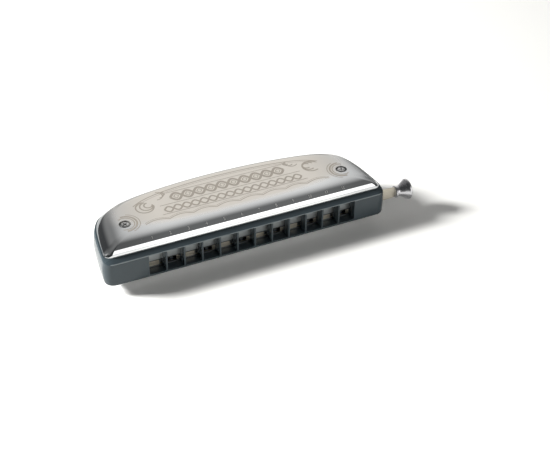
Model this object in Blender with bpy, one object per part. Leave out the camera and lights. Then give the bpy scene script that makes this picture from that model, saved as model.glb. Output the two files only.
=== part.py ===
"""Twelve-hole chromatic harmonica with a spring-returned slide.

Lengths below are in millimetres and are scaled to metres as each mesh is made. The drawing frame has
x along the instrument (button end positive), y back from the mouthpiece face and z up from the middle
plane. The row frame has the same directions, with its origin on the flat of the lower cover.
"""

import math

import bmesh
import bpy
from mathutils import Matrix, Vector

MM = 0.001

# Driving dimensions of the closed instrument.
HALF_THICKNESS = 12.5
ORIGIN_Y = 23.0
HALF_LENGTH = 71.5
DEPTH = 45.2
RIM_Z = 7.0

# Mouth holes: twelve in a row, a little to the button side of the middle.
HOLE_COUNT = 12
HOLE_PITCH = 9.0
HOLE_WIDTH = 7.9
HOLE_HALF_HEIGHT = 5.45
HOLE_ROW_X = 1.5

# Mouthpiece lip and the slide cage behind it.
LIP_Y = 3.0
CAGE_FRONT_Y = 4.8
CAGE_BACK_Y = 6.7
CAGE_HALF_HEIGHT = 6.0
CAGE_LEFT_X = -67.2
PLATE_HALF_HEIGHT = 5.7
FRONT_WINDOW_WIDTH = 7.4
WINDOW_WIDTH = 4.4
WINDOW_LOW_Z = 2.2
WINDOW_HIGH_Z = 4.9
SLIDE_TRAVEL = 4.5
BUTTON_X = 80.8
SLIDE_Y = (5.35, 6.05)

# Comb, reed plates and reeds.
DECK_Z = 5.0
SEPTUM_HALF = 0.8
RECESS_FRONT_Y = 8.4
REED_PLATE_X = 54.8
REED_PLATE_FRONT_Y = 8.8
REED_PLATE_BACK = [(54.8, 33.0), (46.0, 38.0), (30.0, 40.4), (-30.0, 40.4), (-46.0, 38.0), (-54.8, 33.0)]
REED_PLATE_Z = (5.1, 6.15)
LONGEST_CHAMBER = 26.0
SHORTEST_CHAMBER = 16.0
CHAMBER_WIDTH = 3.2
REED_SLOT_HALF_WIDTH = 1.15
REED_SHORTFALL = 9.5  # A reed's free length is this much less than its chamber's length.
PILOT_RADIUS = 0.65

# Covers and their bolts.
COVER_BASE_Z = 7.1
COVER_WALL_Z = 7.4
COVER_SHEET = 0.5
COVER_FRONT_Y = 3.3
FLAT_FRONT_Y = 13.0
FLAT_SCALE = (0.80, 0.64)
BOLT_X = 56.8
BOLT_Y = 18.8
BOLT_PLACES = [(-BOLT_X, BOLT_Y), (BOLT_X, BOLT_Y)]
BOSS_RADIUS = 1.85
BOSS_TOP_Z = 10.8
DIMPLE_FLOOR_Z = 11.4
DIMPLE_RADIUS = 2.75

RING_POINTS_PER_STRETCH = 3


def clear_scene():
    for found in list(bpy.data.objects):
        bpy.data.objects.remove(found)


def row(x, y, z):
    """A drawing point in the row frame, in metres."""
    return Vector((x, y - ORIGIN_Y, z + HALF_THICKNESS)) * MM


def material(name, colour, roughness, metallic):
    made = bpy.data.materials.new(name)
    made.use_nodes = True
    shader = made.node_tree.nodes["Principled BSDF"]
    shader.inputs["Base Color"].default_value = (*colour, 1.0)
    shader.inputs["Roughness"].default_value = roughness
    shader.inputs["Metallic"].default_value = metallic
    return made


def finish(name, mesh_builder, skin):
    """Closes a bmesh into a named object with outward faces."""
    bmesh.ops.remove_doubles(mesh_builder, verts=mesh_builder.verts, dist=1e-7)
    bmesh.ops.recalc_face_normals(mesh_builder, faces=mesh_builder.faces)
    if mesh_builder.calc_volume(signed=True) < 0:
        bmesh.ops.reverse_faces(mesh_builder, faces=mesh_builder.faces)
    mesh = bpy.data.meshes.new(name)
    mesh_builder.to_mesh(mesh)
    mesh_builder.free()
    made = bpy.data.objects.new(name, mesh)
    bpy.context.scene.collection.objects.link(made)
    if skin is not None:
        mesh.materials.append(skin)
    mesh.shade_smooth()
    mesh.set_sharp_from_angle(angle=math.radians(35))
    return made


def loft(name, rings, skin=None):
    """A closed solid through rings of equal count, each a list of drawing points."""
    builder = bmesh.new()
    loops = [[builder.verts.new(row(*point)) for point in ring] for ring in rings]
    count = len(loops[0])
    for lower, upper in zip(loops, loops[1:]):
        for i in range(count):
            j = (i + 1) % count
            builder.faces.new((lower[i], lower[j], upper[j], upper[i]))
    builder.faces.new(list(reversed(loops[0])))
    builder.faces.new(loops[-1])
    return finish(name, builder, skin)


def boxes(name, corner_pairs, skin=None):
    """One mesh of separate boxes, each given by its lowest and highest drawing corners."""
    builder = bmesh.new()
    for low, high in corner_pairs:
        a, b = row(*low), row(*high)
        size, middle = b - a, (a + b) / 2
        matrix = Matrix.Translation(middle) @ Matrix.Diagonal((*size, 1.0))
        bmesh.ops.create_cube(builder, size=1.0, matrix=matrix)
    return finish(name, builder, skin)


def prism_z(name, outline, low_z, high_z, skin=None):
    """An outline in x and y, extruded along z."""
    rings = [[(x, y, z) for x, y in outline] for z in (low_z, high_z)]
    return loft(name, rings, skin)


def prism_y(name, outlines, low_y, high_y, skin=None):
    """Outlines in x and z, extruded along y into one mesh."""
    builder = bmesh.new()
    for outline in outlines:
        front = [builder.verts.new(row(x, low_y, z)) for x, z in outline]
        face = builder.faces.new(front)
        grown = bmesh.ops.extrude_face_region(builder, geom=[face])["geom"]
        moved = [item for item in grown if isinstance(item, bmesh.types.BMVert)]
        bmesh.ops.translate(builder, verts=moved, vec=Vector((0, (high_y - low_y) * MM, 0)))
    return finish(name, builder, skin)


def turned(name, profile, centre, axis, steps, skin=None):
    """A turned solid: profile points are (radius, distance along the axis from centre)."""
    builder = bmesh.new()
    across = Vector((0, 0, 1)) if abs(axis[2]) < 0.5 else Vector((1, 0, 0))
    along = Vector(axis)
    start = row(*centre)
    points = [start + (across * r + along * d) * MM for r, d in profile]
    verts = [builder.verts.new(point) for point in points]
    edges = [builder.edges.new(pair) for pair in zip(verts, verts[1:])]
    bmesh.ops.spin(
        builder,
        geom=verts + edges,
        cent=start,
        axis=along,
        angle=math.tau,
        steps=steps,
        use_merge=True,
    )
    return finish(name, builder, skin)


def drums(name, places, one_end, other_end, segments):
    """One mesh of upright drums at the (x, y) places. Each end is a (height, radius) pair."""
    (low_z, low_radius), (high_z, high_radius) = sorted((one_end, other_end))
    builder = bmesh.new()
    for x, y in places:
        bmesh.ops.create_cone(
            builder,
            cap_ends=True,
            segments=segments,
            radius1=low_radius * MM,
            radius2=high_radius * MM,
            depth=(high_z - low_z) * MM,
            matrix=Matrix.Translation(row(x, y, (low_z + high_z) / 2)),
        )
    return finish(name, builder, None)


def helper(obj):
    """Keeps a Boolean operand out of the model."""
    obj.hide_render = True
    obj.display_type = "WIRE"
    return obj


def boolean(target, other, operation):
    change = target.modifiers.new(other.name, "BOOLEAN")
    change.operation = operation
    change.solver = "EXACT"
    change.object = helper(other)


def cut(target, *cutters):
    for cutter in cutters:
        boolean(target, cutter, "DIFFERENCE")


def join(target, *others):
    for other in others:
        boolean(target, other, "UNION")


def spline(points, per_stretch):
    """Catmull-Rom points from the first inner point to the last, the ends being guides."""
    found = []
    for a, b, c, d in zip(points, points[1:], points[2:], points[3:]):
        for step in range(per_stretch):
            t = step / per_stretch
            found.append(
                tuple(
                    0.5
                    * (
                        2 * q
                        + (r - p) * t
                        + (2 * p - 5 * q + 4 * r - s) * t * t
                        + (3 * q - p - 3 * r + s) * t**3
                    )
                    for p, q, r, s in zip(a, b, c, d)
                )
            )
    found.append(tuple(points[-2]))
    return found


def plan_outline(front_y, grow=0.0, corner=3.4):
    """The plan of the instrument, from the middle of the front edge round by the button end.

    The front edge and its corners are a line and arcs. The ends and the bowed back are one smooth
    curve. grow moves the ends and the back outwards, and the front stays put.
    """
    base_front = front_y + grow
    arc = []
    for step in range(5):
        angle = math.radians(-90 + 84 * step / 4)
        x = HALF_LENGTH - corner + corner * math.cos(angle)
        arc.append((x, base_front + corner + corner * math.sin(angle)))
    ends = [
        (HALF_LENGTH - 1.6, 20.0),
        (HALF_LENGTH - 3.6, 29.0),
        (HALF_LENGTH - 7.6, 35.2),
        (HALF_LENGTH - 16.0, 39.2),
        (42.0, DEPTH - 3.1),
        (22.0, DEPTH - 0.8),
        (0.0, DEPTH),
        (-22.0, DEPTH - 0.8),
    ]
    half = arc[:-1] + spline([arc[-2], arc[-1], *ends], RING_POINTS_PER_STRETCH)
    front = [(x, base_front) for x in (0.0, 22.0, 44.0)]
    right = front + half
    left = [(-x, y) for x, y in reversed(right[1:-1])]
    loop = right + left
    grown = []
    for i, (x, y) in enumerate(loop):
        before, after = loop[i - 1], loop[(i + 1) % len(loop)]
        run = Vector((after[0] - before[0], after[1] - before[1])).normalized()
        grown.append((x + run.y * grow, y - run.x * grow))
    return grown


def hole_x(number):
    """The middle of mouth hole 1 to 12."""
    return HOLE_ROW_X + (number - (HOLE_COUNT + 1) / 2) * HOLE_PITCH


def comb_body(skin):
    """The moulded comb with its mouthpiece lip, slide slot, chambers and bolt bosses."""
    levels = [
        (-RIM_Z, 1.4, 0.8),
        (-RIM_Z + 0.5, 0.0, 1.4),
        (0.0, 0.0, 1.9),
        (HOLE_HALF_HEIGHT + 0.1, 0.0, 1.2),
        (RIM_Z, LIP_Y, 0.4),
    ]
    rings = [[(x, y, z) for x, y in plan_outline(front, grow)] for z, front, grow in levels]
    body = loft("comb_body", rings, skin)

    well = plan_outline(RECESS_FRONT_Y, -2.2)
    for side, name in ((1, "upper"), (-1, "lower")):
        cut(body, prism_z(f"cutter_{name}_well", well, side * DECK_Z, side * (RIM_Z + 2)))
        foot, top = (side * 4.0, BOSS_RADIUS), (side * BOSS_TOP_Z, BOSS_RADIUS)
        join(body, drums(f"cutter_{name}_bosses", BOLT_PLACES, foot, top, 20))
    cut(body, drums("cutter_bolt_holes", BOLT_PLACES, (-13.0, 1.35), (13.0, 1.35), 14))

    mouth, chambers = [], []
    for number in range(1, HOLE_COUNT + 1):
        x = hole_x(number)
        half = HOLE_WIDTH / 2
        mouth.append(((x - half, -2, -HOLE_HALF_HEIGHT), (x + half, CAGE_FRONT_Y + 0.4, HOLE_HALF_HEIGHT)))
        length = chamber_length(number)
        for blow in (-1, 1):
            middle = x + blow * HOLE_PITCH / 4
            low, high = middle - CHAMBER_WIDTH / 2, middle + CHAMBER_WIDTH / 2
            for side in (-1, 1):
                z_pair = sorted((side * SEPTUM_HALF, side * (DECK_Z + 0.2)))
                chambers.append(
                    ((low, CAGE_BACK_Y - 0.4, z_pair[0]), (high, CAGE_BACK_Y + length, z_pair[1]))
                )
    slot = [((CAGE_LEFT_X, CAGE_FRONT_Y, -CAGE_HALF_HEIGHT), (80, CAGE_BACK_Y, CAGE_HALF_HEIGHT))]
    cut(body, boxes("cutter_slide_slot", slot), boxes("cutter_mouth_holes", mouth))
    cut(body, boxes("cutter_chambers", chambers), spring_pocket())
    cut(body, pilot_holes("cutter_upper_pilots", 1), pilot_holes("cutter_lower_pilots", -1))
    return body


def chamber_length(number):
    """Low notes at the left have long chambers, high notes at the right short ones."""
    share = (number - 1) / (HOLE_COUNT - 1)
    return LONGEST_CHAMBER + (SHORTEST_CHAMBER - LONGEST_CHAMBER) * share


def spring_pocket():
    outline = [(-67.0, 6.3), (-59.0, 6.3), (-60.8, 16.0), (-61.4, 26.5), (-65.4, 26.5), (-66.6, 16.0)]
    return prism_z("cutter_spring_pocket", outline, -1.6, 1.6)


def plate_screw_places():
    """The plate screws stand outside the chambers: along the back, and at the low-note end."""
    return [(-53.3, 12.0), (-53.3, 30.0), (-28.0, 38.0), (0.0, 37.0), (28.0, 36.0), (51.0, 31.5)]


def pilot_holes(name, side):
    """Holes for the plate screws, from outside a reed plate to well inside the comb."""
    ends = (side * 1.5, PILOT_RADIUS), (side * 8.0, PILOT_RADIUS)
    return drums(name, plate_screw_places(), *ends, 10)


def cage_plate(name, window_width, low_y, high_y, skin):
    """A fixed slide plate with an upper and a lower window behind each mouth hole."""
    plate = boxes(name, [((-57.0, low_y, -PLATE_HALF_HEIGHT), (66.5, high_y, PLATE_HALF_HEIGHT))], skin)
    windows = []
    for number in range(1, HOLE_COUNT + 1):
        x, half = hole_x(number), window_width / 2
        windows.append(((x - half, low_y - 1, WINDOW_LOW_Z), (x + half, high_y + 1, WINDOW_HIGH_Z)))
        windows.append(((x - half, low_y - 1, -WINDOW_HIGH_Z), (x + half, high_y + 1, -WINDOW_LOW_Z)))
    cut(plate, boxes(f"cutter_{name}_windows", windows))
    return plate


def slide(skin):
    """The moving plate. At rest it opens the upper windows of odd holes and the lower ones of even
    holes, and pushed in it swaps them, so its openings stand in a chequered pattern."""
    tall, stem, tip = PLATE_HALF_HEIGHT - 0.2, 3.4, 2.9
    outline = [
        (-61.8, -tall),
        (67.5, -tall),
        (67.5, -stem),
        (70.5, -stem),
        (BUTTON_X - 0.2, -tip),
        (BUTTON_X, -1.9),
        (BUTTON_X + 2.8, -1.9),
        (BUTTON_X + 2.8, 1.9),
        (BUTTON_X, 1.9),
        (BUTTON_X - 0.2, tip),
        (70.5, stem),
        (67.5, stem),
        (67.5, tall),
        (-61.8, tall),
    ]
    plate = prism_y("slide", [outline], *SLIDE_Y, skin)
    openings = []
    low_y, high_y = SLIDE_Y[0] - 1, SLIDE_Y[1] + 1
    margin = WINDOW_WIDTH / 2
    for number in range(HOLE_COUNT + 1):
        side = -1 if number % 2 else 1
        low = hole_x(number) + margin + 0.15
        high = hole_x(number + 1) + margin
        if number == 0:
            low = hole_x(1) - margin
        if number == HOLE_COUNT:
            high = hole_x(HOLE_COUNT) + SLIDE_TRAVEL + margin
        z_pair = sorted((side * WINDOW_LOW_Z, side * WINDOW_HIGH_Z))
        openings.append(((low, low_y, z_pair[0]), (high, high_y, z_pair[1])))
    cut(plate, boxes("cutter_slide_openings", openings))
    eye_profile = [(0, -2), (0.6, -2), (0.6, 2), (0, 2)]
    eye = turned("cutter_slide_eye", eye_profile, (-60.2, sum(SLIDE_Y) / 2, 0), (0, 1, 0), 12)
    cut(plate, eye)
    return plate


def slide_button(skin):
    """A turned, flared push button with a slot that takes the slide's tip."""
    profile = [
        (0, 0),
        (2.6, 0),
        (3.1, 0.4),
        (3.1, 1.0),
        (2.7, 1.4),
        (2.7, 2.0),
        (3.1, 3.1),
        (3.8, 4.5),
        (4.6, 5.8),
        (5.2, 6.7),
        (5.3, 7.4),
        (4.95, 8.0),
        (3.4, 8.4),
        (0, 8.6),
    ]
    knob = turned("slide_button", profile, (BUTTON_X, sum(SLIDE_Y) / 2, 0), (1, 0, 0), 32, skin)
    tip_slot = ((BUTTON_X - 1, SLIDE_Y[0] - 0.1, -2.0), (BUTTON_X + 3, SLIDE_Y[1] + 0.1, 2.0))
    cut(knob, boxes("cutter_button_slot", [tip_slot]))
    return knob


def slide_spring(skin):
    """A hairpin of spring wire. Its straight leg rests on the comb and its bent tip hooks the slide."""
    route = [
        (-66.1, 10.0),
        (-65.9, 14.0),
        (-65.0, 20.0),
        (-64.5, 24.2),
        (-63.6, 25.6),
        (-62.5, 24.2),
        (-61.9, 18.0),
        (-60.9, 12.0),
        (-60.3, 9.2),
        (-60.2, 7.6),
        (-60.2, 5.4),
    ]
    points = spline([route[0], *route, route[-1]], 4)
    curve = bpy.data.curves.new("slide_spring", "CURVE")
    curve.dimensions = "3D"
    curve.bevel_depth = 0.35 * MM
    curve.bevel_resolution = 2
    curve.use_fill_caps = True
    line = curve.splines.new("POLY")
    line.points.add(len(points) - 1)
    for target, (x, y) in zip(line.points, points):
        target.co = (*row(x, y, 0), 1.0)
    curve.materials.append(skin)
    made = bpy.data.objects.new("slide_spring", curve)
    bpy.context.scene.collection.objects.link(made)
    return made


def slide_bumper(skin):
    return boxes("slide_bumper", [((-67.0, 5.0, 2.0), (-66.5, 6.4, 5.2))], skin)


def reed_shape(name, x, start_y, direction, length, side, outside, skin=None):
    """One reed: a riveted pad on the plate and a free tongue over its slot."""
    face = REED_PLATE_Z[1] if outside else REED_PLATE_Z[0]
    up = 1 if outside else -1
    heights = [side * (face + up * d) for d in (-0.12, 0.06, 0.34)]
    pad = start_y + direction * 2.6
    tip = start_y + direction * (2.6 + length)
    outline = [
        (start_y, heights[0]),
        (pad, heights[0]),
        (pad, heights[1]),
        (tip, heights[1]),
        (tip, heights[2]),
        (start_y, heights[2]),
    ]
    rings = [[(x + dx, y, z) for y, z in outline] for dx in (-0.95, 0.95)]
    return loft(name, rings, skin)


def reed_plate(name, side, skin):
    """A brass plate with 24 slots, and on each slot a reed riveted to one face."""
    low_z, high_z = sorted((side * REED_PLATE_Z[0], side * REED_PLATE_Z[1]))
    front = [(-REED_PLATE_X, REED_PLATE_FRONT_Y), (REED_PLATE_X, REED_PLATE_FRONT_Y)]
    plate = prism_z(name, front + REED_PLATE_BACK, low_z, high_z, skin)
    slots, reeds = [], []
    for number in range(1, HOLE_COUNT + 1):
        length = chamber_length(number) - REED_SHORTFALL
        front = REED_PLATE_FRONT_Y + 3.6
        for index, offset in enumerate((-1, 1)):
            x = hole_x(number) + offset * HOLE_PITCH / 4
            low = (x - REED_SLOT_HALF_WIDTH, front, low_z - 1)
            high = (x + REED_SLOT_HALF_WIDTH, front + length + 0.3, high_z + 1)
            slots.append((low, high))
            outside = index == 1
            if outside:
                args = (x, front - 2.6, 1, length, side, True)
            else:
                args = (x, front + length + 2.9, -1, length, side, False)
            reeds.append(reed_shape(f"cutter_{name}_reed_{number}_{index}", *args))
    cut(plate, boxes(f"cutter_{name}_slots", slots))
    cut(plate, pilot_holes(f"cutter_{name}_screw_holes", side))
    for reed in reeds:
        join(plate, reed)
    return plate


def cover_profile(share, firmness):
    """Height of the cover above the middle plane, by the share of the way in to its flat top.

    firmness 0.5 is the steep shoulder of the front, and near 1 the softer one of the ends and back.
    """
    rise = HALF_THICKNESS - COVER_WALL_Z
    return COVER_WALL_Z + rise * (1 - (1 - share) ** 3) ** firmness


def shoulder_firmness(outline, index):
    """Steep where the outline faces the front, soft elsewhere."""
    before, after = outline[index - 1], outline[(index + 1) % len(outline)]
    run = Vector((after[0] - before[0], after[1] - before[1])).normalized()
    return 0.95 - 0.45 * max(0.0, run.x) ** 4


def cover_ring(share, inset, side, drop=None):
    """One ring of the cover, between the base outline and the edge of the flat.

    The outer face has no drop, the inner face lies a sheet's thickness below it, and with a share of
    None the ring is the foot of the wall.
    """
    outer = plan_outline(COVER_FRONT_Y + inset, -inset)
    rim = plan_outline(COVER_FRONT_Y)
    flat = [(x * FLAT_SCALE[0], FLAT_FRONT_Y + (y - COVER_FRONT_Y) * FLAT_SCALE[1]) for x, y in rim]
    if share is None:
        return [(x, y, side * COVER_BASE_Z) for x, y in outer]
    ring = []
    for index, (a, b) in enumerate(zip(outer, flat)):
        z = cover_profile(share, shoulder_firmness(rim, index))
        if drop is not None:
            z = max(z - drop, COVER_BASE_Z + 0.1)
        ring.append((a[0] + (b[0] - a[0]) * share, a[1] + (b[1] - a[1]) * share, side * z))
    return ring


def cover(name, side, skin):
    """A pressed sheet cover with an open slot along its back and a dimple at each bolt."""
    shares = [0.0, 0.03, 0.1, 0.22, 0.42, 0.68, 1.0]
    rings = [cover_ring(share, COVER_SHEET, side, COVER_SHEET) for share in reversed(shares)]
    rings.append(cover_ring(None, COVER_SHEET, side))
    rings.append(cover_ring(None, 0.0, side))
    rings += [cover_ring(share, 0.0, side) for share in shares]
    sheet = loft(name, rings, skin)
    z_pair = sorted((side * 6.5, side * 9.4))
    back_slot = boxes(f"cutter_{name}_back_slot", [((-38.0, 40.0, z_pair[0]), (38.0, 48.0, z_pair[1]))])
    cut(sheet, back_slot)
    cup = (side * 10.9, 3.4), (side * 12.2, 3.4)
    dimple = (side * DIMPLE_FLOOR_Z, DIMPLE_RADIUS), (side * 14.0, DIMPLE_RADIUS + 0.3)
    bore = (side * 10.0, 1.5), (side * 13.0, 1.5)
    join(sheet, drums(f"cutter_{name}_cups", BOLT_PLACES, *cup, 22))
    cut(sheet, drums(f"cutter_{name}_dimples", BOLT_PLACES, *dimple, 26))
    cut(sheet, drums(f"cutter_{name}_bores", BOLT_PLACES, *bore, 14))
    return sheet


def cover_bolt(name, x, skin):
    """A domed, cross-recessed bolt that runs through both covers and the comb."""
    profile = [(0, -12.2), (0.9, -12.2), (1.15, -11.9), (1.15, 11.5), (2.35, 11.5), (2.35, 11.9)]
    profile += [(2.0, 12.3), (1.2, 12.45), (0, 12.48)]
    bolt = turned(name, profile, (x, BOLT_Y, 0), (0, 0, 1), 20, skin)
    for index, (dx, dy) in enumerate(((1.5, 0.28), (0.28, 1.5))):
        arm = ((x - dx, BOLT_Y - dy, 11.8), (x + dx, BOLT_Y + dy, 13))
        cut(bolt, boxes(f"cutter_{name}_recess_{index}", [arm]))
    return bolt


def cover_nut(name, x, skin):
    """A thin hexagon nut in the lower cover's dimple."""
    turns = [math.radians(60 * corner) for corner in range(6)]
    corners = [(x + 2.5 * math.cos(turn), BOLT_Y + 2.5 * math.sin(turn)) for turn in turns]
    nut = prism_z(name, corners, -12.4, -11.5, skin)
    bore = [(0, -13), (1.25, -13), (1.25, -11), (0, -11)]
    cut(nut, turned(f"cutter_{name}_bore", bore, (x, BOLT_Y, 0), (0, 0, 1), 20))
    return nut


def plate_screw(name, x, y, side, skin):
    top = REED_PLATE_Z[1] + 0.05
    shank = PILOT_RADIUS - 0.1
    profile = [(0, 2.0), (shank / 2, 2.0), (shank, 2.5), (shank, top), (1.3, top)]
    profile += [(1.3, top + 0.4), (0.9, top + 0.7), (0, top + 0.75)]
    screw = turned(name, profile, (x, y, 0), (0, 0, side), 12, skin)
    z_pair = sorted((side * (top + 0.4), side * (top + 2)))
    driver_slot = ((x - 2, y - 0.18, z_pair[0]), (x + 2, y + 0.18, z_pair[1]))
    cut(screw, boxes(f"cutter_{name}_slot", [driver_slot]))
    return screw


def main():
    clear_scene()
    plastic = material("black_plastic", (0.02, 0.024, 0.028), 0.25, 0.0)
    steel = material("polished_cover", (0.75, 0.74, 0.72), 0.15, 1.0)
    nickel = material("nickel_silver", (0.62, 0.6, 0.55), 0.25, 1.0)
    chrome = material("chrome", (0.8, 0.8, 0.82), 0.08, 1.0)
    brass = material("brass", (0.72, 0.58, 0.3), 0.3, 1.0)
    rubber = material("silicone", (0.1, 0.1, 0.1), 0.8, 0.0)

    comb_body(plastic)
    for name, side in (("upper", 1), ("lower", -1)):
        cover(f"{name}_cover", side, steel)
        reed_plate(f"{name}_reed_plate", side, brass)
        for index, (x, y) in enumerate(plate_screw_places(), start=1):
            plate_screw(f"{name}_plate_screw_{index}", x, y, side, brass)
    for name, x in (("left", -BOLT_X), ("right", BOLT_X)):
        cover_bolt(f"cover_bolt_{name}", x, chrome)
        cover_nut(f"cover_nut_{name}", x, chrome)

    cage_plate("slide_front_plate", FRONT_WINDOW_WIDTH, 4.88, 5.26, nickel)
    cage_plate("slide_back_plate", WINDOW_WIDTH, 6.14, 6.52, nickel)
    slide(nickel)
    slide_button(chrome)
    slide_spring(chrome)
    slide_bumper(rubber)


main()
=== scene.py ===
"""Looks for the twelve-hole chromatic harmonica: finer meshes, materials, light and camera.

Lengths are in millimetres in the drawing frame of the part: x along the instrument with the button at
the positive end, y back from the mouthpiece face, z up from the middle plane. row() turns a drawing
point into the shared frame, in metres.
"""

import math

import bmesh
import bpy
from mathutils import Matrix, Vector


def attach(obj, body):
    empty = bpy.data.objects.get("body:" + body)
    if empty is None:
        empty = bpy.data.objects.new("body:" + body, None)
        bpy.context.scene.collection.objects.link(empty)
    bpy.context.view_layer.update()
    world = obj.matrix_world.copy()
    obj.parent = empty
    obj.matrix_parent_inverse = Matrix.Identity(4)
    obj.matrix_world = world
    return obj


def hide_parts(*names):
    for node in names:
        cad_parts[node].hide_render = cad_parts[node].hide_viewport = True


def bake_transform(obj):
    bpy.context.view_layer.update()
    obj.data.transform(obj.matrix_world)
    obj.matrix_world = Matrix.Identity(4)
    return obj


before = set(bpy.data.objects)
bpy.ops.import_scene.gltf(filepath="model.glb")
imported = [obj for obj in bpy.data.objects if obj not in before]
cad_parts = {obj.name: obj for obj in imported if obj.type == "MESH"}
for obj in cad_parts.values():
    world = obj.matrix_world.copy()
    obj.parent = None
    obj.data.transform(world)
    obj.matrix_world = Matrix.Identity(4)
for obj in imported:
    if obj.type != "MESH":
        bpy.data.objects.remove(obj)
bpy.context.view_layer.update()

MM = 0.001

# The instrument's outline and thickness.
HALF_THICKNESS = 12.5
ORIGIN_Y = 23.0
HALF_LENGTH = 71.5
DEPTH = 45.2
RIM_Z = 7.0
CORNER_RADIUS = 3.4
CORNER_START = -90
CORNER_GUIDE = -27
CORNER_END = -6
CORNER_STEPS = 16
FRONT_STEP = 11.0
FRONT_STEPS = 6
POINTS_PER_STRETCH = 8

# The mouth holes, the slide cage's slot and the chambers behind it.
HOLE_COUNT = 12
HOLE_PITCH = 9.0
HOLE_WIDTH = 7.9
HOLE_HALF_HEIGHT = 5.45
HOLE_ROW_X = 1.5
CAGE = ((-67.2, 4.8, -6.0), (80.0, 6.7, 6.0))
DECK_Z = 5.0
WELL_FRONT_Y = 8.4
WELL_INSET = 2.2
CHAMBER_LENGTHS = (26.0, 16.0)
CHAMBER_WIDTH = 3.2
SEPTUM_HALF = 0.8
COMB_BORE_RADIUS = 1.35
CUT_OVERLAP = 0.4
# Height of the painted highlight line along the top of the mouthpiece face.
HIGHLIGHT_LINE_Z = 5.53

# The covers and what is on them. Heights are above or below the middle plane.
COVER_BASE_Z = 7.1
COVER_WALL_Z = 7.4
COVER_SHEET = 0.5
COVER_FRONT_Y = 3.3
FLAT_FRONT_Y = 13.0
FLAT_SCALE = (0.80, 0.64)
SOUND_GAP = ((-38.0, 40.0), (38.0, 48.0))
SOUND_GAP_Z = (6.5, 9.4)
BOLT_X = 56.8
BOLT_Y = 18.8
BOLT_PLACES = [(-BOLT_X, BOLT_Y), (BOLT_X, BOLT_Y)]
CUP_RADIUS = 3.4
CUP_Z = (10.9, 12.2)
DIMPLE_RADIUS = 2.75
DIMPLE_TOP_RADIUS = 3.05
DIMPLE_Z = (11.4, 14.0)
COVER_BORE_RADIUS = 1.5
COVER_BORE_Z = (10.0, 13.0)
ORNAMENT_LIFT = 0.010
STROKE_LIFT = 0.0012
NUMERAL_SIZE = 1.9
NUMERAL_Y = 5.0
NUMERAL_LIFT = 0.03

# The slide's button and its return spring.
BUTTON_X = 80.8
SLIDE_MIDDLE_Y = 5.7
SPRING_WIRE_RADIUS = 0.35

SHARP_ANGLE = 38
COMB_SHARP_ANGLE = 50

# The camera's place, in degrees, metres and millimetres of lens.
CAMERA_AZIMUTH = -24.94
CAMERA_ELEVATION = 37.0
CAMERA_ROLL = 0.64
CAMERA_DISTANCE = 0.5341
CAMERA_LENS = 72.8
CAMERA_TARGET = (HOLE_ROW_X + 10.31, 0.0, 4.02)

# The lamps, in metres and watts.
LAMP_DIRECTION = (-0.79, 0.35, 0.50)
LAMP_DISTANCE = 1.1
LAMP_COLOUR = (1.0, 0.995, 0.98)
LAMP_AIM = (0, 0, 0.012)
KEY_SIZE = 0.26
KEY_WATTS = 31.0
SPARK_SIZE = 0.09
SPARK_WATTS = 1.2


def row(x, y, z):
    """A drawing point in the shared frame, in metres."""
    return Vector((x, y - ORIGIN_Y, z + HALF_THICKNESS)) * MM


# Node helpers for materials.


def new_material(name):
    made = bpy.data.materials.new(name)
    made.use_nodes = True
    return made, made.node_tree, made.node_tree.nodes["Principled BSDF"]


def node(tree, kind, **settings):
    made = tree.nodes.new(kind)
    for key, value in settings.items():
        setattr(made, key, value)
    return made


def socket(tree, target, value):
    """Links an output to an input, or sets the input's value."""
    if isinstance(value, bpy.types.NodeSocket):
        tree.links.new(value, target)
    else:
        target.default_value = value


def math_node(tree, operation, first, second=0.0):
    made = node(tree, "ShaderNodeMath", operation=operation)
    socket(tree, made.inputs[0], first)
    socket(tree, made.inputs[1], second)
    return made.outputs[0]


def ramp(tree, value, low, high, low_out=0.0, high_out=1.0):
    """A smooth step from low_out to high_out as value runs from low to high."""
    made = node(tree, "ShaderNodeMapRange", interpolation_type="SMOOTHSTEP")
    socket(tree, made.inputs["Value"], value)
    made.inputs["From Min"].default_value = low
    made.inputs["From Max"].default_value = high
    made.inputs["To Min"].default_value = low_out
    made.inputs["To Max"].default_value = high_out
    return made.outputs["Result"]


def mix(tree, share, first, second):
    """A colour from first, at a share of 0, to second, at 1."""
    made = node(tree, "ShaderNodeMix", data_type="RGBA")
    socket(tree, made.inputs["Factor"], share)
    socket(tree, made.inputs["A"], first)
    socket(tree, made.inputs["B"], second)
    return made.outputs["Result"]


def place(tree):
    """Object coordinates in metres, which are the shared frame's for every mesh here."""
    return node(tree, "ShaderNodeTexCoord").outputs["Object"]


def noise(tree, scale, detail=3.0, stretch=(1.0, 1.0, 1.0)):
    """Soft noise fixed to the instrument. A larger stretch value makes it finer along that axis."""
    shrink = node(tree, "ShaderNodeMapping")
    socket(tree, shrink.inputs["Vector"], place(tree))
    shrink.inputs["Scale"].default_value = stretch
    made = node(tree, "ShaderNodeTexNoise")
    socket(tree, made.inputs["Vector"], shrink.outputs["Vector"])
    made.inputs["Scale"].default_value = scale
    made.inputs["Detail"].default_value = detail
    return made.outputs["Fac"]


def bump(tree, shader, height, distance, strength):
    made = node(tree, "ShaderNodeBump")
    socket(tree, made.inputs["Height"], height)
    made.inputs["Distance"].default_value = distance
    made.inputs["Strength"].default_value = strength
    tree.links.new(made.outputs["Normal"], shader.inputs["Normal"])


def axes(tree):
    """The x, y and z of the shaded point."""
    parts = node(tree, "ShaderNodeSeparateXYZ")
    socket(tree, parts.inputs[0], place(tree))
    return parts.outputs["X"], parts.outputs["Y"], parts.outputs["Z"]


def product(tree, *values):
    result = values[0]
    for value in values[1:]:
        result = math_node(tree, "MULTIPLY", result, value)
    return result


def offset_from(tree, value, centre):
    """The distance of value from centre, without its sign."""
    return math_node(tree, "ABSOLUTE", math_node(tree, "SUBTRACT", value, centre))


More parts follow.
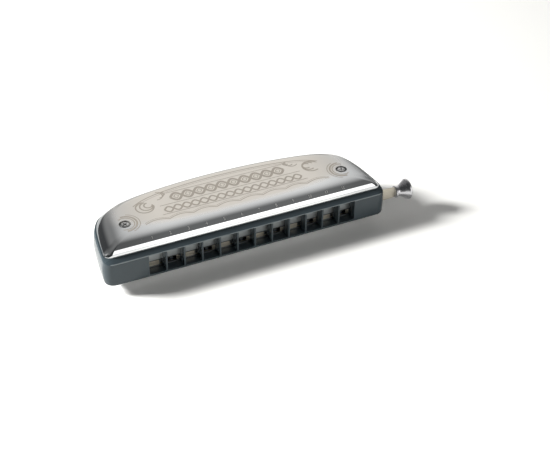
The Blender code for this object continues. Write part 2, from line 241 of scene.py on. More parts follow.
PLATING = (0.78, 0.80, 0.815, 1.0)
# Painted shade: the plating's colour towards both ends of the covers.
PAINTED_END_SHADE = (0.33, 0.34, 0.35, 1.0)
# Painted shade near the rim of the covers.
PAINTED_RIM_SHADE = (0.10, 0.11, 0.12, 1.0)
SATIN_DARK = (0.76, 0.72, 0.665, 1.0)
SATIN_LIGHT = (0.82, 0.785, 0.73, 1.0)
PLASTIC_DARK = (0.033, 0.044, 0.050, 1.0)
PLASTIC_LIGHT = (0.045, 0.061, 0.071, 1.0)
# Painted highlight along the top edge of the mouthpiece face.
PAINTED_EDGE_HIGHLIGHT = (0.24, 0.27, 0.28, 1.0)
SHADOW = (0.02, 0.022, 0.022, 1.0)


def etched_area(tree, x, y):
    """1 on the etched part of the flat and 0 outside it, with a soft, rounded border."""
    half_length, half_depth, middle_y, squareness = 0.064, 0.0165, 0.0040, 3.0
    across = math_node(tree, "MULTIPLY", x, 1 / half_length)
    along = math_node(tree, "MULTIPLY", math_node(tree, "SUBTRACT", y, middle_y), 1 / half_depth)
    across = math_node(tree, "POWER", math_node(tree, "ABSOLUTE", across), squareness)
    along = math_node(tree, "POWER", math_node(tree, "ABSOLUTE", along), squareness)
    return ramp(tree, math_node(tree, "ADD", across, along), 1.15, 0.45)


def rim_shade(tree, x, y, z):
    """Two shares near the rim of a cover: how much painted shade darkens it, and how much it is made matt."""
    rise = offset_from(tree, z, HALF_THICKNESS * MM)
    right = ramp(tree, x, 0.02, 0.05)
    level = math_node(tree, "SUBTRACT", rise, math_node(tree, "MULTIPLY", right, 0.0007))
    # Painted shade along the lower shoulders, away from the front, reaching higher at the right end.
    low = product(
        tree,
        ramp(tree, level, 0.0114, 0.0097),
        ramp(tree, y, -0.0170, -0.0145),
        0.94,
    )
    # Painted dark outline along the back shoulder, below the flat.
    behind = product(
        tree,
        ramp(tree, rise, 0.01248, 0.01234),
        ramp(tree, y, 0.006, 0.012),
        ramp(tree, offset_from(tree, x, 0.0), 0.060, 0.048, 0.0, 0.75),
    )
    dark = math_node(tree, "MAXIMUM", low, behind)
    matt = math_node(tree, "MAXIMUM", math_node(tree, "MULTIPLY", low, right), behind)
    return dark, matt


def cover_metal():
    """Bright plating that fades into warm, finely etched satin inside the flat, with painted shade towards
    both ends and painted shade near its rim.
    """
    made, tree, shader = new_material("cover_plating")
    x, y, z = axes(tree)
    etched = etched_area(tree, x, y)
    # dark is the share of painted shade near the rim, matt the share made dull.
    dark, matt = rim_shade(tree, x, y, z)
    # Painted shade: the plating is coloured darker towards both ends of the cover.
    ends = ramp(tree, offset_from(tree, x, 0.0), 0.036, 0.064, 0.0, 0.38)
    cloud = noise(tree, 60.0, 3.0, (1.0, 2.5, 1.0))

    skin = mix(tree, etched, PLATING, mix(tree, cloud, SATIN_DARK, SATIN_LIGHT))
    skin = mix(tree, ends, skin, PAINTED_END_SHADE)
    # Painted shade at the rim of the cover.
    skin = mix(tree, dark, skin, PAINTED_RIM_SHADE)
    socket(tree, shader.inputs["Base Color"], skin)

    rough = ramp(tree, etched, 0.0, 1.0, 0.07, 0.40)
    rough = math_node(tree, "ADD", rough, math_node(tree, "MULTIPLY", matt, 0.45))
    wear = ramp(tree, cloud, 0.35, 0.75, 0.0, 0.04)
    socket(tree, shader.inputs["Roughness"], math_node(tree, "ADD", rough, wear))

    metallic = ramp(tree, matt, 0.3, 0.9, 1.0, 0.0)
    metallic = product(tree, metallic, ramp(tree, etched, 0.0, 1.0, 1.0, 0.80))
    socket(tree, shader.inputs["Metallic"], metallic)
    grain = product(tree, noise(tree, 2600.0, 4.0), etched)
    bump(tree, shader, grain, 0.000012, 0.5)
    return made


def clouded(name, scale, detail, dark, light, metallic, roughness):
    """A material whose colour drifts between dark and light."""
    made, tree, shader = new_material(name)
    cloud = noise(tree, scale, detail)
    socket(tree, shader.inputs["Base Color"], mix(tree, cloud, (*dark, 1), (*light, 1)))
    shader.inputs["Metallic"].default_value = metallic
    shader.inputs["Roughness"].default_value = roughness
    return made


def etching_metal():
    """The deeper, duller metal of the etched ornament."""
    return clouded("etched_ornament", 900.0, 2.0, (0.42, 0.38, 0.33), (0.50, 0.455, 0.40), 0.7, 0.5)


def numeral_metal():
    return clouded("stamped_numerals", 1500.0, 3.0, (0.46, 0.46, 0.45), (0.58, 0.58, 0.57), 0.6, 0.55)


def silicone():
    return clouded("bumper_silicone", 300.0, 3.0, (0.05, 0.05, 0.05), (0.08, 0.08, 0.08), 0.0, 0.75)


def gloss_plastic():
    """Blue-black moulded plastic with a polished skin, a painted highlight line along the top edge of the
    mouthpiece face, and a matt upper rim.
    """
    made, tree, shader = new_material("gloss_plastic")
    _, y, z = axes(tree)
    tint = mix(tree, noise(tree, 45.0), PLASTIC_DARK, PLASTIC_LIGHT)
    # Painted highlight: a light line along the top edge of the mouthpiece face.
    from_line = offset_from(tree, z, (HALF_THICKNESS + HIGHLIGHT_LINE_Z) * MM)
    line = ramp(tree, from_line, 0.00026, 0.00012, 0.0, 0.8)
    line = product(tree, line, ramp(tree, y, -0.0222, -0.0226))
    tint = mix(tree, line, tint, PAINTED_EDGE_HIGHLIGHT)
    socket(tree, shader.inputs["Base Color"], tint)
    gloss = ramp(tree, noise(tree, 120.0), 0.3, 0.8, 0.16, 0.26)
    rim = ramp(tree, z, 0.0176, 0.0184, 0.0, 0.7)
    rim = product(tree, rim, ramp(tree, y, -0.0205, -0.0185))
    socket(tree, shader.inputs["Roughness"], math_node(tree, "ADD", gloss, rim))
    shader.inputs["IOR"].default_value = 1.37
    bump(tree, shader, noise(tree, 900.0, 2.0), 0.000006, 0.4)
    return made


def sheet_metal(name, dark, light, roughness, stretch=(1.0, 1.0, 12.0), shadow_line=None):
    """Rolled sheet or turned stock with a faint grain. A shadow line is a dark edge at that distance
    above and below the middle plane, in metres."""
    made, tree, shader = new_material(name)
    grain = noise(tree, 700.0, 4.0, stretch)
    skin = mix(tree, grain, (*dark, 1), (*light, 1))
    if shadow_line:
        _, _, z = axes(tree)
        from_line = offset_from(tree, offset_from(tree, z, HALF_THICKNESS * MM), shadow_line)
        line = ramp(tree, from_line, 0.00034, 0.00018, 0.0, 0.9)
        skin = mix(tree, line, skin, SHADOW)
    socket(tree, shader.inputs["Base Color"], skin)
    socket(tree, shader.inputs["Roughness"], ramp(tree, grain, 0.2, 0.8, roughness, roughness + 0.1))
    shader.inputs["Metallic"].default_value = 1.0
    bump(tree, shader, grain, 0.000004, 0.4)
    return made


# Mesh helpers.


def finish(name, builder, skin, sharp_angle=SHARP_ANGLE):
    """Turns a bmesh into an object with outward faces, smooth except at sharp edges."""
    bmesh.ops.remove_doubles(builder, verts=builder.verts, dist=1e-7)
    bmesh.ops.recalc_face_normals(builder, faces=builder.faces)
    if builder.calc_volume(signed=True) < 0:
        bmesh.ops.reverse_faces(builder, faces=builder.faces)
    mesh = bpy.data.meshes.new(name)
    builder.to_mesh(mesh)
    builder.free()
    made = bpy.data.objects.new(name, mesh)
    bpy.context.scene.collection.objects.link(made)
    if skin is not None:
        mesh.materials.append(skin)
    mesh.shade_smooth()
    mesh.set_sharp_from_angle(angle=math.radians(sharp_angle))
    return made


def loft(name, rings, skin=None, sharp_angle=SHARP_ANGLE):
    """A closed solid through rings of equal count, each a list of drawing points."""
    builder = bmesh.new()
    loops = [[builder.verts.new(row(*point)) for point in ring] for ring in rings]
    count = len(loops[0])
    for lower, upper in zip(loops, loops[1:]):
        for i in range(count):
            j = (i + 1) % count
            builder.faces.new((lower[i], lower[j], upper[j], upper[i]))
    builder.faces.new(list(reversed(loops[0])))
    builder.faces.new(loops[-1])
    return finish(name, builder, skin, sharp_angle)


def boxes(name, corner_pairs):
    """One mesh of upright boxes, each from its lowest and highest corners."""
    builder = bmesh.new()
    for low, high in corner_pairs:
        a, b = row(*low), row(*high)
        matrix = Matrix.Translation((a + b) / 2) @ Matrix.Diagonal((*(b - a), 1.0))
        bmesh.ops.create_cube(builder, size=1.0, matrix=matrix)
    return finish(name, builder, None)


def drums(name, places, one_end, other_end, segments):
    """One mesh of upright drums at the (x, y) places. Each end is a (height, radius) pair."""
    (low_z, low_radius), (high_z, high_radius) = sorted((one_end, other_end))
    builder = bmesh.new()
    for x, y in places:
        bmesh.ops.create_cone(
            builder,
            cap_ends=True,
            segments=segments,
            radius1=low_radius * MM,
            radius2=high_radius * MM,
            depth=(high_z - low_z) * MM,
            matrix=Matrix.Translation(row(x, y, (low_z + high_z) / 2)),
        )
    return finish(name, builder, None)


def turned(name, profile, centre, axis, steps, skin=None):
    """A turned solid: profile points are (radius, distance along the axis from centre)."""
    builder = bmesh.new()
    across = Vector((0, 0, 1)) if abs(axis[2]) < 0.5 else Vector((1, 0, 0))
    along = Vector(axis)
    start = row(*centre)
    verts = [builder.verts.new(start + (across * r + along * d) * MM) for r, d in profile]
    edges = [builder.edges.new(pair) for pair in zip(verts, verts[1:])]
    bmesh.ops.spin(
        builder,
        geom=verts + edges,
        cent=start,
        axis=along,
        angle=math.tau,
        steps=steps,
        use_merge=True,
    )
    return finish(name, builder, skin)


def boolean(target, other, operation):
    """Adds a Boolean modifier. The other object stays out of the picture until settle() removes it."""
    other.hide_render = True
    other.hide_viewport = False
    change = target.modifiers.new(other.name, "BOOLEAN")
    change.operation = operation
    change.solver = "MANIFOLD"
    change.object = other


def settle(obj, *cutters):
    """Applies obj's modifiers and removes the operands, so that only the piece stays."""
    bpy.context.view_layer.update()
    graph = bpy.context.evaluated_depsgraph_get()
    mesh = bpy.data.meshes.new_from_object(obj.evaluated_get(graph))
    obj.modifiers.clear()
    obj.data = mesh
    for cutter in cutters:
        bpy.data.objects.remove(cutter)
    mesh.shade_smooth()
    mesh.set_sharp_from_angle(angle=math.radians(SHARP_ANGLE))


def weigh_normals(obj):
    """Keeps large faces flat in shading beside small ones."""
    flat = obj.modifiers.new("normals", "WEIGHTED_NORMAL")
    flat.keep_sharp = True


def round_edges(obj, width):
    """A small rounded edge on every sharp corner, with flats kept flat."""
    bevel = obj.modifiers.new("edge", "BEVEL")
    bevel.width = width * MM
    bevel.segments = 2
    bevel.limit_method = "ANGLE"
    bevel.angle_limit = math.radians(SHARP_ANGLE)
    bevel.harden_normals = False
    weigh_normals(obj)


def spline(points, per_stretch):
    """Catmull-Rom points from the first inner point to the last, the ends being guides."""
    found = []
    for a, b, c, d in zip(points, points[1:], points[2:], points[3:]):
        for step in range(per_stretch):
            t = step / per_stretch
            found.append(
                tuple(
                    0.5
                    * (
                        2 * q
                        + (r - p) * t
                        + (2 * p - 5 * q + 4 * r - s) * t * t
                        + (3 * q - p - 3 * r + s) * t**3
                    )
                    for p, q, r, s in zip(a, b, c, d)
                )
            )
    found.append(tuple(points[-2]))
    return found


def corner_point(front_y, degrees):
    """A point on the rounded front corner, by its angle from straight to the right."""
    turn = math.radians(degrees)
    x = HALF_LENGTH - CORNER_RADIUS + CORNER_RADIUS * math.cos(turn)
    return x, front_y + CORNER_RADIUS + CORNER_RADIUS * math.sin(turn)


def direction_at(points, index):
    """The unit vector along a closed outline at one of its points."""
    before, after = points[index - 1], points[(index + 1) % len(points)]
    return Vector((after[0] - before[0], after[1] - before[1])).normalized()


def plan_outline(front_y, grow=0.0):
    """The plan of the instrument, the part's own curve with more points along it."""
    base_front = front_y + grow
    corner_turn = CORNER_END - CORNER_START
    corner = []
    for step in range(CORNER_STEPS):
        corner.append(corner_point(base_front, CORNER_START + corner_turn * step / CORNER_STEPS))
    guides = [corner_point(base_front, degrees) for degrees in (CORNER_GUIDE, CORNER_END)]
    end_and_back = [
        (HALF_LENGTH - 1.6, 20.0),
        (HALF_LENGTH - 3.6, 29.0),
        (HALF_LENGTH - 7.6, 35.2),
        (HALF_LENGTH - 16.0, 39.2),
        (42.0, DEPTH - 3.1),
        (22.0, DEPTH - 0.8),
        (0.0, DEPTH),
        (-22.0, DEPTH - 0.8),
    ]
    front = [(step * FRONT_STEP, base_front) for step in range(FRONT_STEPS)]
    right = front + corner + spline([*guides, *end_and_back], POINTS_PER_STRETCH)
    left = [(-x, y) for x, y in reversed(right[1:-1])]
    loop = right + left
    grown = []
    for index, (x, y) in enumerate(loop):
        run = direction_at(loop, index)
        grown.append((x + run.y * grow, y - run.x * grow))
    return grown


def hole_x(number):
    return HOLE_ROW_X + (number - (HOLE_COUNT + 1) / 2) * HOLE_PITCH


def chamber_length(number):
    longest, shortest = CHAMBER_LENGTHS
    return longest + (shortest - longest) * (number - 1) / (HOLE_COUNT - 1)


# The comb and its mouthpiece.


def comb(skin):
    """The moulded body with a soft lip and relieved hole mouths, from levels up its height. Each level
    is a height, how far back the front is there, and how far the outline grows."""
    levels = [
        (-7.0, 1.4, 0.8),
        (-6.93, 0.75, 1.0),
        (-6.74, 0.28, 1.2),
        (-6.5, 0.05, 1.36),
        (-6.0, 0.0, 1.5),
        (-4.0, 0.0, 1.74),
        (-2.0, 0.0, 1.87),
        (0.0, 0.0, 1.9),
        (2.0, 0.0, 1.78),
        (4.0, 0.0, 1.5),
        (5.2, 0.0, 1.26),
        (5.46, 0.04, 1.2),
        (5.72, 0.3, 1.12),
        (6.1, 1.1, 1.0),
        (6.6, 2.15, 0.85),
        (6.88, 2.72, 0.74),
        (6.97, 2.93, 0.70),
        (7.0, 3.05, 0.68),
    ]
    rings = [[(x, y, z) for x, y in plan_outline(front, grow)] for z, front, grow in levels]
    body = loft("comb_moulding", rings, skin, COMB_SHARP_ANGLE)

    well = plan_outline(WELL_FRONT_Y, -WELL_INSET)
    cutters = []
    for side in (1, -1):
        heights = (side * DECK_Z, side * (RIM_Z + CUT_OVERLAP))
        cutters.append(loft(f"well_{side}", [[(x, y, z) for x, y in well] for z in heights]))
    cutters.append(boxes("slot", [CAGE]))
    cutters.append(mouth_cutter())
    cutters.append(chamber_cutter())
    low_end, high_end = (-HALF_THICKNESS, COMB_BORE_RADIUS), (HALF_THICKNESS, COMB_BORE_RADIUS)
    cutters.append(drums("bolt_holes", BOLT_PLACES, low_end, high_end, 24))
    for cutter in cutters:
        boolean(body, cutter, "DIFFERENCE")
    settle(body, *cutters)
    weigh_normals(body)
    return body


def mouth_cutter():
    """Twelve square holes, each flared a little at its mouth."""
    builder = bmesh.new()
    for number in range(1, HOLE_COUNT + 1):
        x = hole_x(number)
        loops = []
        for y, flare in ((-0.5, 0.22), (0.0, 0.16), (0.3, 0.0), (CAGE[0][1] + CUT_OVERLAP, 0.0)):
            half_x, half_z = HOLE_WIDTH / 2 + flare, HOLE_HALF_HEIGHT + flare * 0.4
            corners = [(-half_x, -half_z), (half_x, -half_z), (half_x, half_z), (-half_x, half_z)]
            loops.append([builder.verts.new(row(x + dx, y, dz)) for dx, dz in corners])
        for near, far in zip(loops, loops[1:]):
            for i in range(4):
                j = (i + 1) % 4
                builder.faces.new((near[i], near[j], far[j], far[i]))
        builder.faces.new(list(reversed(loops[0])))
        builder.faces.new(loops[-1])
    return finish("mouths", builder, None)


def chamber_cutter():
    """Four chambers for each hole: a blow and a draw one above the septum, and the same below it."""
    chambers = []
    for number in range(1, HOLE_COUNT + 1):
        back = CAGE[1][1] + chamber_length(number)
        for half_hole in (-1, 1):
            middle = hole_x(number) + half_hole * HOLE_PITCH / 4
            for side in (-1, 1):
                low_z, high_z = sorted((side * SEPTUM_HALF, side * (DECK_Z + CUT_OVERLAP / 2)))
                low = (middle - CHAMBER_WIDTH / 2, CAGE[1][1] - CUT_OVERLAP, low_z)
                high = (middle + CHAMBER_WIDTH / 2, back, high_z)
                chambers.append((low, high))
    return boxes("chambers", chambers)


# The covers.


def cover_height(share, firmness):
    """Height above the middle plane, by the share of the way in to the flat. The shoulder is steep at
    firmness 0.5, as in front, and softer near 1, as at the ends and back."""
    rise = HALF_THICKNESS - COVER_WALL_Z
    return COVER_WALL_Z + rise * (1 - (1 - share) ** 3) ** firmness


def front_height(y):
    """Height of the cover's outer face on its straight front, at the distance y from the mouthpiece."""
    share = (y - COVER_FRONT_Y) / (FLAT_FRONT_Y - COVER_FRONT_Y)
    return cover_height(min(1.0, max(0.0, share)), 0.5)


def shoulder_firmness(outline, index):
    """0.5 where the outline runs along the front, and 0.95 at the ends and the back."""
    return 0.95 - 0.45 * max(0.0, direction_at(outline, index).x) ** 4


def cover_ring(share, inset, side, drop=None):
    """One ring of the cover. A share of None is the foot of the wall; drop makes it the inner face."""
    outer = plan_outline(COVER_FRONT_Y + inset, -inset)
    rim = plan_outline(COVER_FRONT_Y)
    flat = [(x * FLAT_SCALE[0], FLAT_FRONT_Y + (y - COVER_FRONT_Y) * FLAT_SCALE[1]) for x, y in rim]
    if share is None:
        return [(x, y, side * COVER_BASE_Z) for x, y in outer]
    ring = []
    for index, (a, b) in enumerate(zip(outer, flat)):
        z = cover_height(share, shoulder_firmness(rim, index))
        if drop is not None:
            z = max(z - drop, COVER_BASE_Z + 0.1)
        ring.append((a[0] + (b[0] - a[0]) * share, a[1] + (b[1] - a[1]) * share, side * z))
    return ring


def cover(name, side, skin):
    """A pressed cover with smooth shoulders, a rolled lower edge, dimples and a sound gap behind."""
    count = 18
    outer_shares = [(step / count) ** 2 for step in range(count + 1)]
    inner_shares = [1.0, 0.68, 0.42, 0.22, 0.1, 0.03, 0.0]
    rings = [cover_ring(share, COVER_SHEET, side, COVER_SHEET) for share in inner_shares]
    rings.append(cover_ring(None, COVER_SHEET, side))
    rings.append(cover_ring(None, 0.0, side))
    rings += [cover_ring(share, 0.0, side) for share in outer_shares]
    sheet = loft(name, rings, skin)

    def upright(part, heights, radii, segments):
        ends = [(side * height, radius) for height, radius in zip(heights, radii)]
        return drums(f"{name}_{part}", BOLT_PLACES, *ends, segments)

    low_z, high_z = sorted(side * height for height in SOUND_GAP_Z)
    gap = boxes(f"{name}_gap", [((*SOUND_GAP[0], low_z), (*SOUND_GAP[1], high_z))])
    cups = upright("cups", CUP_Z, (CUP_RADIUS, CUP_RADIUS), 40)
    dimples = upright("dimples", DIMPLE_Z, (DIMPLE_RADIUS, DIMPLE_TOP_RADIUS), 48)
    bores = upright("bores", COVER_BORE_Z, (COVER_BORE_RADIUS, COVER_BORE_RADIUS), 24)
    boolean(sheet, gap, "DIFFERENCE")
    boolean(sheet, cups, "UNION")
    boolean(sheet, dimples, "DIFFERENCE")
    boolean(sheet, bores, "DIFFERENCE")
    settle(sheet, gap, cups, dimples, bores)
    weigh_normals(sheet)
    return sheet


def runs_along(points):
    """The unit vector along an open line at each of its points."""
    runs = []
    for before, after in zip([points[0], *points], [*points[1:], points[-1]]):
        runs.append(Vector((after[0] - before[0], after[1] - before[1])).normalized())
    return runs


def ribbon(builder, points, width, height):
    """A flat ribbon along x and y points, at one height."""
    sides = []
    for (x, y), run in zip(points, runs_along(points)):
        across = (run.y * width / 2, -run.x * width / 2)
        edges = [row(x + k * across[0], y + k * across[1], height) for k in (-1, 1)]
        sides.append([builder.verts.new(edge) for edge in edges])
    for first, second in zip(sides, sides[1:]):
        builder.faces.new((first[0], first[1], second[1], second[0]))


def arc_points(centre, radius, start, end):
    """Points on an arc between two angles, in degrees."""
    count = 24
    turns = [math.radians(start + (end - start) * i / count) for i in range(count + 1)]
    return [(centre[0] + radius * math.cos(turn), centre[1] + radius * math.sin(turn)) for turn in turns]


def border_strokes():
    """The edge lines of the flat, as (points, width): a bowed pair of lines behind, scallops in front,
    and rings, curls and leaves at both ends."""
    back = []
    for step in range(197):
        x = (step - 98) * 0.5
        back.append((x, 38.6 - (x / 47.0) ** 2 * 4.6 - (x / 50.0) ** 8 * 4.0))
    strokes = [(back, 0.5), ([(x * 0.985, y - 1.1) for x, y in back], 0.25)]
    front = []
    for step in range(241):
        x = -48.0 + step * 0.4
        front.append((x, 14.4 + 1.6 * abs(math.sin(math.pi * (x + 48.0) / 12.0))))
    strokes += [(front, 0.45), ([(x, y + 1.0) for x, y in front], 0.22)]
    for end in (-1, 1):
        centre = (end * BOLT_X, BOLT_Y)
        facing = 180 if end > 0 else 0
        for radius, width, reach in ((4.6, 0.5, 115), (5.8, 0.9, 95), (7.2, 0.4, 70)):
            strokes.append((arc_points(centre, radius, facing - reach, facing + reach), width))
        for turn, radius in enumerate((4.4, 3.2, 2.0)):
            curl_centre = (end * (44.0 - turn), 27.5 + turn * 0.5)
            strokes.append((arc_points(curl_centre, radius, 60 - end * 30, 330 - end * 30), 0.7))
            leaf_centre = (end * (36.0 - turn * 1.5), 34.0 + turn * 0.3)
            strokes.append((arc_points(leaf_centre, radius * 0.7, 200 - end * 60, 380 - end * 60), 0.5))
    return strokes


def band_strokes():
    """Two interlaced bands between lines, with lozenges in the wider one, as (points, width)."""
    strokes = []
    wide_middle = 30.2
    bands = ((wide_middle, 2.9, 12.0, 30.0, 1.3), (21.6, 2.1, 9.0, 36.0, 0.9))
    for middle, swing, period, reach, width in bands:
        for phase in (0.0, math.pi):
            wave = []
            for step in range(241):
                x = reach * (step / 120.0 - 1.0)
                wave.append((x, middle + swing * math.sin(x * math.tau / period + phase)))
            strokes.append((wave, width))
    corners = ((-1.3, 0.0), (0.0, -1.6), (1.3, 0.0), (0.0, 1.6), (-1.3, 0.0))
    for index in range(10):
        x = index * 6.0 - 27.0
        strokes.append(([(x + dx, wide_middle + dy) for dx, dy in corners], 0.45))
    for line_y, reach in ((25.6, 37.0), (34.6, 31.0), (18.4, 38.0)):
        strokes.append(([(-reach + reach * step / 37.0, line_y) for step in range(75)], 0.35))
    return strokes


def ornament(skin):
    """The etched ornament on the flat of the upper cover, each stroke a hair above the last."""
    builder = bmesh.new()
    for index, (points, width) in enumerate(border_strokes() + band_strokes()):
        ribbon(builder, points, width, HALF_THICKNESS + ORNAMENT_LIFT + index * STROKE_LIFT)
    mesh = bpy.data.meshes.new("cover_ornament_upper")
    builder.normal_update()
    builder.to_mesh(mesh)
    builder.free()
    mesh.materials.append(skin)
    made = bpy.data.objects.new("cover_ornament_upper", mesh)
    bpy.context.scene.collection.objects.link(made)
    return made


def numerals(skin):
    """The hole numbers 1 to 12, stamped along the front shoulder of the upper cover."""
    made = []
    for number in range(1, HOLE_COUNT + 1):
        text = bpy.data.curves.new(f"numeral_{number}", "FONT")
        text.body = str(number)
        text.size = NUMERAL_SIZE
        text.align_x = "CENTER"
        text.resolution_u = 4
        holder = bpy.data.objects.new(f"numeral_{number}", text)
        bpy.context.scene.collection.objects.link(holder)
        bpy.context.view_layer.update()
        graph = bpy.context.evaluated_depsgraph_get()
        mesh = bpy.data.meshes.new_from_object(holder.evaluated_get(graph))
        bpy.data.objects.remove(holder)
        builder = bmesh.new()
        builder.from_mesh(mesh)
        bmesh.ops.subdivide_edges(builder, edges=builder.edges[:], cuts=2)
        for vertex in builder.verts:
            y = NUMERAL_Y + vertex.co.y
            vertex.co = row(hole_x(number) + vertex.co.x, y, front_height(y) + NUMERAL_LIFT)
        builder.to_mesh(mesh)
        builder.free()
        mesh.materials.clear()
        mesh.materials.append(skin)
        piece = bpy.data.objects.new(f"numeral_{number}", mesh)
        bpy.context.scene.collection.objects.link(piece)
        made.append(piece)
    return made


# Bolts, the button and the spring.


def bolt(name, x, skin):
    """A domed bolt head with a cross recess, on its plain shank."""
    shank = [(0, -12.2), (0.9, -12.2), (1.15, -11.95), (1.15, 11.5)]
    head = [(2.2, 11.5), (2.31, 11.56), (2.35, 11.68), (2.33, 11.85), (2.2, 12.05)]
    dome = [(1.95, 12.24), (1.5, 12.38), (0.9, 12.46), (0, 12.49)]
    piece = turned(name, shank + head + dome, (x, BOLT_Y, 0), (0, 0, 1), 48, skin)
    turn = math.radians(28 if x < 0 else 65)
    arms = []
    for quarter in (0, 1):
        angle = turn + quarter * math.pi / 2
        direction = Vector((math.cos(angle), math.sin(angle)))
        across = Vector((-direction.y, direction.x))
        rings = []
        for z, reach, half in ((11.75, 0.5, 0.14), (12.6, 1.6, 0.34)):
            corners = [(-reach, -half), (reach, -half), (reach, half), (-reach, half)]
            ring = []
            for a, b in corners:
                point = direction * a + across * b
                ring.append((x + point.x, BOLT_Y + point.y, z))
            rings.append(ring)
        arm = loft(f"{name}_arm_{quarter}", rings)
        boolean(piece, arm, "DIFFERENCE")
        arms.append(arm)
    settle(piece, *arms)
    return piece


def button(skin):
    """The flared push button: a grooved collar, a waist and a trumpet with a softly domed face."""
    collar = [(0, 0), (2.5, 0), (2.85, 0.1), (3.05, 0.35), (3.1, 0.65), (3.02, 0.95), (2.8, 1.2), (2.66, 1.4)]
    waist = [(2.6, 1.7), (2.66, 2.1), (2.88, 2.8), (3.25, 3.6)]
    flare = [(3.7, 4.4), (4.2, 5.2), (4.75, 6.0), (5.1, 6.5), (5.25, 6.9), (5.3, 7.25)]
    face = [(5.25, 7.6), (5.05, 7.9), (4.6, 8.1), (3.4, 8.32), (1.8, 8.48), (0, 8.54)]
    foot = (BUTTON_X, SLIDE_MIDDLE_Y, 0)
    return turned("button_turning", collar + waist + flare + face, foot, (1, 0, 0), 64, skin)


def return_spring(skin):
    """The hairpin spring wire, with a straight leg and a free leg, in place of the part's spring."""
    still_leg = [(-66.1, 10.0), (-65.9, 14.0), (-65.0, 20.0), (-64.5, 24.2), (-63.6, 25.6)]
    free_leg = [(-62.5, 24.2), (-61.9, 18.0), (-60.9, 12.0), (-60.3, 9.2), (-60.2, 7.6), (-60.2, 5.4)]
    points = spline([still_leg[0], *still_leg, *free_leg, free_leg[-1]], 8)
    sides = 12
    rings = []
    for (x, y), run in zip(points, runs_along(points)):
        ring = []
        for step in range(sides):
            turn = math.tau * step / sides
            across = SPRING_WIRE_RADIUS * math.cos(turn)
            height = SPRING_WIRE_RADIUS * math.sin(turn)
            ring.append((x + run.y * across, y - run.x * across, height))
        rings.append(ring)
    piece = loft("return_spring_wire", rings, skin)
    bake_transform(piece)
    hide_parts("slide_spring")


# Putting the pieces together.


def dress_node(name, skin, edge=0.0):
    """Gives a node of the part a better material, and a small edge."""
    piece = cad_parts[name]
    piece.data.materials.clear()
    piece.data.materials.append(skin)
    if edge:
        round_edges(piece, edge)


def stand_in(piece, body, slot, *nodes):
    """Puts a new piece on its body, in place of the nodes that it stands for, which are hidden. The slot
    argument is not used.
    """
    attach(piece, body)
    if nodes:
        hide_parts(*nodes)


def build_instrument():
    """Every material, then every piece of the instrument, finer than the part's or dressed as it is."""
    plating = cover_metal()
    along_x, along_y = (14.0, 1.0, 1.0), (1.0, 12.0, 1.0)
    chrome = sheet_metal("turned_chrome", (0.52, 0.52, 0.54), (0.64, 0.64, 0.66), 0.24, along_x)
    cage_skin = sheet_metal("cage_sheet", (0.22, 0.235, 0.24), (0.32, 0.345, 0.35), 0.28, shadow_line=0.00202)
    slide_skin = sheet_metal("slide_sheet", (0.60, 0.56, 0.47), (0.72, 0.67, 0.57), 0.30)
    brass = sheet_metal("reed_brass", (0.62, 0.49, 0.25), (0.76, 0.62, 0.35), 0.26, along_y)
    bolt_steel = sheet_metal("bolt_steel", (0.50, 0.50, 0.50), (0.66, 0.66, 0.66), 0.18)

    stand_in(comb(gloss_plastic()), "instrument", "black_plastic", "comb_body")
    for name, side in (("upper", 1), ("lower", -1)):
        shell = cover(f"{name}_cover_shell", side, plating)
        stand_in(shell, "instrument", "polished_cover", f"{name}_cover")
        dress_node(f"{name}_reed_plate", brass)
    stand_in(ornament(etching_metal()), "instrument", "polished_cover")
    for piece in numerals(numeral_metal()):
        stand_in(piece, "instrument", "polished_cover")
    for end, x in (("left", -BOLT_X), ("right", BOLT_X)):
        head = bolt(f"bolt_turning_{end}", x, bolt_steel)
        stand_in(head, "instrument", "chrome", f"cover_bolt_{end}")
        dress_node(f"cover_nut_{end}", bolt_steel, 0.08)
    stand_in(button(chrome), "slide", "chrome", "slide_button")
    return_spring(chrome)

    for name in ("slide_front_plate", "slide_back_plate"):
        dress_node(name, cage_skin)
    dress_node("slide", slide_skin, 0.06)
    dress_node("slide_bumper", silicone())
    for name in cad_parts:
        if "plate_screw" in name:
            dress_node(name, brass, 0.05)


# Stage, light and camera.


def build_floor():
    """A plain pale floor at the height of the lower cover's flat."""
    mesh = bpy.data.meshes.new("floor")
    reach = 6.0
    corners = [(-reach, -reach, 0), (reach, -reach, 0), (reach, reach, 0), (-reach, reach, 0)]
    mesh.from_pydata(corners, [], [(0, 1, 2, 3)])
    floor = bpy.data.objects.new("floor", mesh)
    bpy.context.scene.collection.objects.link(floor)
    made, _, shader = new_material("pale_floor")
    shader.inputs["Base Color"].default_value = (0.90, 0.90, 0.885, 1.0)
    shader.inputs["Roughness"].default_value = 0.95
    shader.inputs["Specular IOR Level"].default_value = 0.1
    mesh.materials.append(made)


def lamp(name, size, watts, mirrored):
    """A square panel aimed at the instrument, seen in reflections only where mirrored."""
    data = bpy.data.lights.new(name, "AREA")
    data.shape = "RECTANGLE"
    data.size = size
    data.size_y = size
    data.energy = watts
    data.color = LAMP_COLOUR
    made = bpy.data.objects.new(name, data)
    aim = Vector(LAMP_DIRECTION).normalized()
    made.location = Vector(LAMP_AIM) + aim * LAMP_DISTANCE
    made.rotation_euler = aim.to_track_quat("Z", "Y").to_euler()
    made.visible_glossy = mirrored
    bpy.context.scene.collection.objects.link(made)


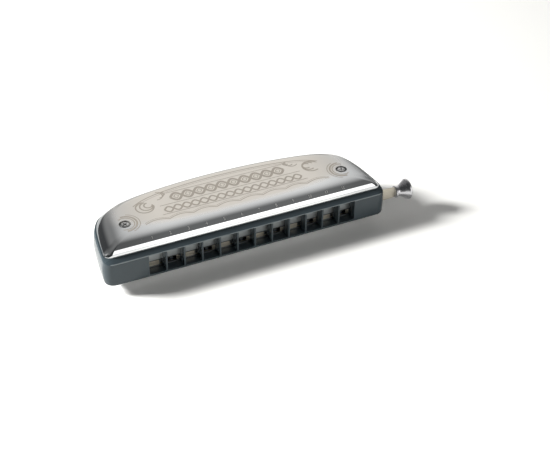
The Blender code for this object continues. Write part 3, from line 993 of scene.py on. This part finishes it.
def build_light():
    """A wall that brightens away from the front, a bright panel in front, a soft key and a small glint."""
    bpy.context.scene.view_settings.view_transform = "Standard"
    world = bpy.data.worlds.new("studio")
    world.use_nodes = True
    bpy.context.scene.world = world
    tree = world.node_tree
    parts = node(tree, "ShaderNodeSeparateXYZ")
    socket(tree, parts.inputs[0], node(tree, "ShaderNodeTexCoord").outputs["Generated"])
    x, y, z = parts.outputs["X"], parts.outputs["Y"], parts.outputs["Z"]
    wall = product(
        tree,
        ramp(tree, y, 0.0, 1.0, 0.16, 1.04),
        ramp(tree, x, -0.16, 0.36, 0.30, 1.0),
        ramp(tree, x, 0.95, 0.40, 0.25, 1.0),
    )
    front_panel = product(
        tree,
        ramp(tree, z, 0.67, 0.61),
        ramp(tree, y, -0.50, -0.60),
        ramp(tree, x, -0.08, 0.16),
        2.0,
    )
    share = math_node(tree, "MAXIMUM", wall, front_panel)
    colour = mix(tree, share, (0.0, 0.004, 0.006, 1), (1.0, 0.985, 0.965, 1))
    colour.node.clamp_factor = False
    background = tree.nodes["Background"]
    socket(tree, background.inputs["Color"], colour)
    background.inputs["Strength"].default_value = 1.0
    lamp("key", KEY_SIZE, KEY_WATTS, mirrored=False)
    lamp("spark", SPARK_SIZE, SPARK_WATTS, mirrored=True)


def build_camera():
    """A long-lens view from the front left, tilted a little."""
    azimuth, elevation = math.radians(CAMERA_AZIMUTH), math.radians(CAMERA_ELEVATION)
    roll = Matrix.Rotation(math.radians(CAMERA_ROLL), 3, "Z")
    target = row(*CAMERA_TARGET)
    away = Vector(
        (
            math.sin(azimuth) * math.cos(elevation),
            -math.cos(azimuth) * math.cos(elevation),
            math.sin(elevation),
        )
    )
    data = bpy.data.cameras.new("camera")
    data.sensor_width = 36.0
    data.lens = CAMERA_LENS
    data.clip_start = 0.01
    data.clip_end = 50.0
    camera = bpy.data.objects.new("camera", data)
    turn = away.to_track_quat("Z", "Y").to_matrix() @ roll
    camera.matrix_world = Matrix.Translation(target + away * CAMERA_DISTANCE) @ turn.to_4x4()
    bpy.context.scene.collection.objects.link(camera)
    bpy.context.scene.camera = camera


build_instrument()
build_floor()
build_light()
build_camera()
